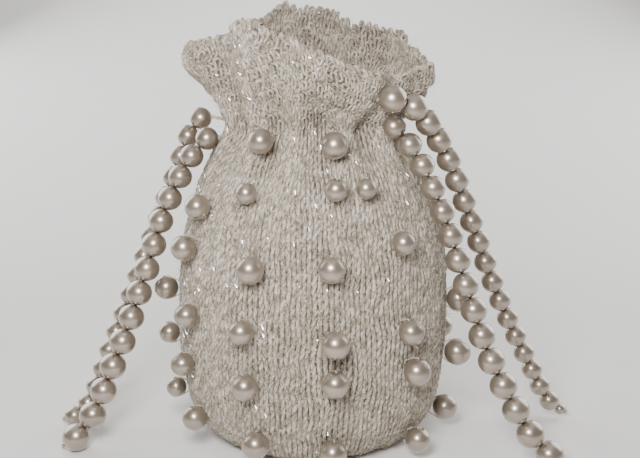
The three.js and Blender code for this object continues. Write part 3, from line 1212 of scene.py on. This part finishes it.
@dataclass
class Drawstrings:
    """Two drawstrings: plain thread inside the neck, and strung pearls from the eyelets to the floor."""

    form: PouchForm
    bead: PearlBead = PearlBead()
    neck_radius: float = 34.0
    ring_radius: float = 27.2
    ring_reach: float = 40.0  # degrees over which the hidden stretch climbs to its eyelets
    ring_heights: tuple[float, float] = (124.5, 130.5)
    ring_points: int = 120
    thread: float = 1.6
    lay: float = 4.5  # millimetres to a turn of the thread's two plies
    stub_gap: float = 0.4  # from the hidden stretch to the strand's own thread
    tucked: float = 0.8  # how far the bare thread goes into its first bead
    lead_points: int = 16
    curve_steps: int = 60
    knot: float = 0.3  # radius of the thread in a knot
    knot_points: int = 30
    strands: tuple[StrandPlan, ...] = (
        StrandPlan("left_front", -80, 122.5, 14, 9.1, 11, 0, (
            (-41.6, -8.2, 122), (-56.5, -12.4, 98.3), (-66.2, -17.6, 69.2), (-77, -23.1, 38.7),
            (-93.6, -29, 5.8), (-104, -33, 5.8))),
        StrandPlan("left_back", -97, 128.3, 17, 9, 8.3, 0, (
            (-45.7, 5.2, 128.8), (-57.6, 2.7, 103.9), (-70, 0.2, 72), (-82.9, -2.5, 39.2),
            (-99.5, -5, 4.8), (-110, -6, 4.8))),
        StrandPlan("right_front", 48, 127.5, 15, 8.9, 11, 0, (
            (30.4, -28.4, 128.5), (40.9, -29.5, 114.3), (48.9, -31.5, 96.6), (58.5, -35.3, 67.3),
            (68.9, -39.8, 38.8), (90.2, -45, 5.8), (103, -48, 5.8))),
        StrandPlan("right_back", 38, 138, 18, 10.2, 8.5, 4.6, (
            (29.4, -34, 139), (38, -29.3, 135.4), (50.8, -17, 118.4), (63.4, -8.5, 89.4),
            (74, -4.6, 62.3), (89.1, -0.7, 30.6), (105, 2, 4.9), (118, 3, 2.8))),
    )

    def build(self) -> None:
        """Makes the four strands and the two hidden stretches."""
        for plan in self.strands:
            self.build_strand(plan)
        ends = {plan.name: plan for plan in self.strands}
        for side, height in zip(("left", "right"), self.ring_heights):
            self.build_ring(side, ends[f"{side}_front"], ends[f"{side}_back"], height)

    def build_strand(self, plan: StrandPlan) -> None:
        """Strings a strand's beads along its route.

        Args:
            plan: The strand.
        """
        eyelet = np.array([self.ring_radius + self.thread / 2 + self.stub_gap, self.neck_radius])
        stub = self.form.on_bag(np.full(2, plan.angle), eyelet, np.full(2, plan.height))
        corners = np.concatenate([stub, np.array(plan.route, float)])
        curve = curves(corners[None], self.curve_steps, True)[0]
        heading = unit(np.gradient(curve, axis=0))
        gone = gone_along(curve)
        sizes = np.linspace(plan.top, plan.end, plan.count)
        if plan.tip:
            sizes = np.append(sizes, plan.tip)
        start = gone_along(corners[:3])[-1] - plan.top / 2
        middles = start + np.cumsum(sizes) - sizes / 2
        centres, axes = (self.along(gone, table, middles) for table in (curve, heading))
        centres[:, 2] = np.maximum(centres[:, 2], sizes / 2)
        axes = unit(axes)
        beads, cord = Shape(), Shape()
        self.bead.add(beads, centres, axes, np.broadcast_to(BACK, axes.shape), sizes)
        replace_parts(beads.piece(f"strung_pearls_{plan.name}", NACRE), f"strand_{plan.name}")
        bare = np.linspace(0, middles[0] - plan.top / 2 + self.tucked, self.lead_points)
        self.add_plies(cord, self.along(gone, curve, bare))
        self.add_knot(cord, centres[-1] + axes[-1] * (sizes[-1] / 2 + 2 * self.knot), axes[-1])
        cord.piece(f"bead_thread_{plan.name}", NYLON)

    @staticmethod
    def along(gone: Array, table: Array, wanted: Array) -> Array:
        """Reads a curve's table at lengths along it."""
        return np.stack([np.interp(wanted, gone, table[:, k]) for k in range(3)], axis=-1)

    def add_plies(self, shape: Shape, path: Array) -> None:
        """Adds a thread of two plies that turn about its path.

        Args:
            shape: The mesh that it is added to.
            path: The middle of the thread.
        """
        heading = unit(np.gradient(path, axis=0))
        turn = 2 * np.pi * (gone_along(path) / self.lay + np.array([[0.0], [0.5]]))
        plies = path + self.thread / 4 * spokes(heading, ASIDE, turn)
        tubes(shape, plies, self.thread / 4, unit(np.cross(heading, ASIDE)), THREAD_SIDES)

    def add_knot(self, shape: Shape, place: Array, axis: Array) -> None:
        """Ties the end of a strand in an overhand knot.

        Args:
            shape: The mesh that it is added to.
            place: The knot's middle.
            axis: The direction of the strand there.
        """
        t = 2 * np.pi * np.arange(self.knot_points) / self.knot_points
        side = unit(np.cross(axis, UP))
        # A trefoil, which is an overhand knot with its ends joined.
        loops = [np.sin(t) + 2 * np.sin(2 * t), np.cos(t) - 2 * np.cos(2 * t), -np.sin(3 * t)]
        path = place + self.knot * np.stack(loops, axis=-1) @ np.stack([side, np.cross(side, axis), axis])
        tubes(shape, path[None], self.knot, axis, THREAD_SIDES, True)

    def build_ring(self, side: str, start: StrandPlan, stop: StrandPlan, height: float) -> None:
        """Lays the hidden stretch of a drawstring round the inside of the neck.

        Args:
            side: The drawstring's name.
            start: The strand that it comes from.
            stop: The strand that it goes to.
            height: Its height away from the eyelets.
        """
        turn = (stop.angle - start.angle) % 360
        gone = np.linspace(0, turn, self.ring_points)
        rise = (start.height - height) * (1 - smooth(np.minimum(gone / self.ring_reach, 1)))
        climb = (stop.height - height) * (1 - smooth(np.minimum((turn - gone) / self.ring_reach, 1)))
        radii = np.full(len(gone), self.ring_radius)
        shape = Shape()
        self.add_plies(shape, self.form.on_bag(start.angle + gone, radii, height + rise + climb))
        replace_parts(shape.piece(f"drawstring_{side}", NYLON), f"neck_thread_{side}")


class Softbox(NamedTuple):
    """A round soft light: where it stands, what it is turned to, its diameter and its power in watts."""

    name: str
    place: Place
    target: Place
    size: float
    watts: float


@dataclass
class Studio:
    """The camera, the paper that the bag stands on, and the lights."""

    lens: float = 49.7
    sensor: float = 36.0
    nearest: float = 10.0  # how close the camera still sees
    eye: Place = (2.9, -355.1, 159.5)
    target: Place = (2.9, 0.0, 84.0)
    paper_width: float = 6000.0
    paper_front: float = -4000.0
    paper_turn: float = 260.0
    paper_bend: float = 900.0
    paper_top: float = 1500.0
    paper_steps: int = 24
    room: str = "#e6e3df"
    room_strength: float = 0.3
    softboxes: tuple[Softbox, ...] = (
        Softbox("key_softbox", (-45, -270, 222), (0, 0, 100), 115, 1.25),
        Softbox("top_softbox", (0, 0, 1200), (0, 0, 60), 1400, 2.6),
        Softbox("rear_left_softbox", (-560, 420, 400), (0, 0, 80), 800, 5.0),
        Softbox("rear_right_softbox", (600, 380, 400), (0, 0, 80), 800, 5.0),
        Softbox("backdrop_softbox", (0, 520, 720), (0, 1100, 330), 500, 3.2),
    )

    def build(self) -> None:
        """Makes the camera, the paper, the lights and the dim room."""
        self.build_camera()
        self.build_paper()
        for box in self.softboxes:
            self.build_light(box)
        world = bpy.data.worlds.new("dim_room")
        world.use_nodes = True
        room = world.node_tree.nodes["Background"]
        room.inputs["Color"].default_value = linear(self.room)
        room.inputs["Strength"].default_value = self.room_strength
        bpy.context.scene.world = world

    @staticmethod
    def stand(data: bpy.types.ID, place: Place, target: Place) -> bpy.types.Object:
        """Stands a camera or a light in the studio.

        Args:
            data: The camera or the light.
            place: Where it stands.
            target: What it is turned to.

        Returns:
            The new object.
        """
        made = bpy.data.objects.new(data.name, data)
        made.location = Vector(place) * MM
        made.rotation_mode = "QUATERNION"
        made.rotation_quaternion = (Vector(target) - Vector(place)).to_track_quat("-Z", "Y")
        bpy.context.scene.collection.objects.link(made)
        return made

    def build_camera(self) -> None:
        """Puts the camera where the photograph was taken from."""
        data = bpy.data.cameras.new("camera")
        data.lens = self.lens
        data.sensor_width = self.sensor
        data.clip_start = self.nearest * MM
        bpy.context.scene.camera = self.stand(data, self.eye, self.target)

    def build_paper(self) -> None:
        """Makes the pale floor, which sweeps up behind the bag."""
        bend = np.linspace(0, np.pi / 2, self.paper_steps)
        sweep_y = self.paper_turn + self.paper_bend * np.sin(bend)
        sweep_z = self.paper_bend * (1 - np.cos(bend))
        y = np.concatenate([[self.paper_front], sweep_y, [sweep_y[-1]]])
        z = np.concatenate([[0.0], sweep_z, [self.paper_top]])
        half = self.paper_width / 2
        sides = [np.stack([np.full(len(y), x), y, z], axis=-1) for x in (-half, half)]
        left, right = np.arange(2 * len(y)).reshape(2, -1)
        shape = Shape()
        shape.add(np.stack(sides), [np.stack([left[:-1], right[:-1], right[1:], left[1:]], axis=-1)])
        shape.piece("studio_paper", PAPER)

    def build_light(self, box: Softbox) -> None:
        """Hangs a soft light that the camera doesn't see.

        Args:
            box: The light.
        """
        data = bpy.data.lights.new(box.name, "AREA")
        data.shape = "DISK"
        data.size = box.size * MM
        data.energy = box.watts
        self.stand(data, box.place, box.target).visible_camera = False


def main() -> None:
    """Builds the bag, its pearls and its drawstrings in the studio."""
    logging.basicConfig(level=logging.INFO, format="%(name)s %(message)s")
    Studio().build()
    form = PouchForm()
    KnittedPouch(KnitGauge(form)).build()
    SewnPearls(form).build()
    Drawstrings(form).build()


if __name__ == "__main__":
    main()
